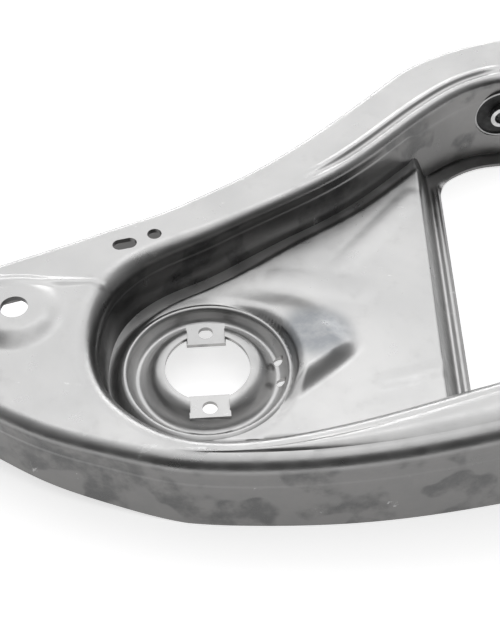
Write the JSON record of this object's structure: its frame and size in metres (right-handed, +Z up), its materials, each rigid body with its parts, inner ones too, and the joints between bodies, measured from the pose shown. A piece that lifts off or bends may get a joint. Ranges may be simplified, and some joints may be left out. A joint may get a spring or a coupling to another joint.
{
  "type": "lower control arm",
  "caption": "Stamped steel A-shaped lower control arm with a round spring seat, shock window, two pivot bushings and a ball joint.",
  "frame": {"origin": "on the spring seat axis, at the underside of the two shock pads", "axes": "+X inboard towards the pivot axis, +Y forward along the pivot axis, +Z up, away from the open side of the stamping"},
  "size_m": [0.562, 0.4374, 0.126],
  "materials": {
    "shell_steel": "bare drawn steel, satin, mottled",
    "plate_steel": "bare drawn steel, satin",
    "weld_steel": "welded bead, heat darkened",
    "bushing_steel": "turned steel",
    "rubber_black": "matt",
    "sleeve_steel": "drawn tube",
    "housing_steel": "forged and turned",
    "bearing_bronze": "sintered bearing",
    "ground_steel": "ground",
    "ring_steel": "spring wire",
    "boot_rubber": "matt moulded rubber",
    "fitting_zinc": "zinc plated",
    "nut_zinc": "zinc plated",
    "pin_zinc": "zinc plated"
  },
  "bodies": {
    "arm": {"upper_shell": "shell_steel", "lower_plate": "plate_steel", "far_seam_weld": "weld_steel", "near_seam_weld": "weld_steel", "front_bushing_shell": "bushing_steel", "front_bushing_rubber": "rubber_black", "rear_bushing_shell": "bushing_steel", "rear_bushing_rubber": "rubber_black", "ball_joint_housing": "housing_steel", "pressure_seat": "ground_steel", "preload_ring": "rubber_black", "bottom_cover": "housing_steel", "lower_boot_ring": "ring_steel", "dust_boot": "boot_rubber", "grease_fitting": "fitting_zinc"},
    "front_sleeve": {"front_bushing_sleeve": "sleeve_steel"},
    "rear_sleeve": {"rear_bushing_sleeve": "sleeve_steel"},
    "bearing": {"swivel_bearing": "bearing_bronze"},
    "half_ball": {"half_ball": "ground_steel", "upper_boot_ring": "ring_steel"},
    "stud": {"ball_stud": "ground_steel", "castle_nut": "nut_zinc", "cotter_pin": "pin_zinc"}
  },
  "joints": [
    {"name": "front_pivot_twist", "type": "hinge", "parent": "arm", "child": "front_sleeve", "pos_m": [0.27, 0.281, 0.025], "axis": [0, 1, 0], "range_deg": [-25, 25], "stiffness_Nm_per_rad": 12},
    {"name": "rear_pivot_twist", "type": "hinge", "parent": "arm", "child": "rear_sleeve", "pos_m": [0.27, -0.074, 0.025], "axis": [0, 1, 0], "range_deg": [-25, 25], "stiffness_Nm_per_rad": 12},
    {"name": "stud_roll", "type": "hinge", "parent": "arm", "child": "bearing", "pos_m": [-0.2, 0.022, 0.035], "axis": [1, 0, 0], "range_deg": [-18, 18], "deforming": ["dust_boot"]},
    {"name": "stud_pitch", "type": "hinge", "parent": "bearing", "child": "half_ball", "pos_m": [-0.2, 0.022, 0.035], "axis": [0, 1, 0], "range_deg": [-18, 18], "deforming": ["dust_boot"]},
    {"name": "stud_spin", "type": "hinge", "parent": "half_ball", "child": "stud", "pos_m": [-0.2, 0.022, 0.035], "axis": [0, 0, 1], "continuous": true}
  ],
  "couplings": [
    {"joint": "rear_pivot_twist", "follows": "front_pivot_twist", "ratio": 1}
  ]
}
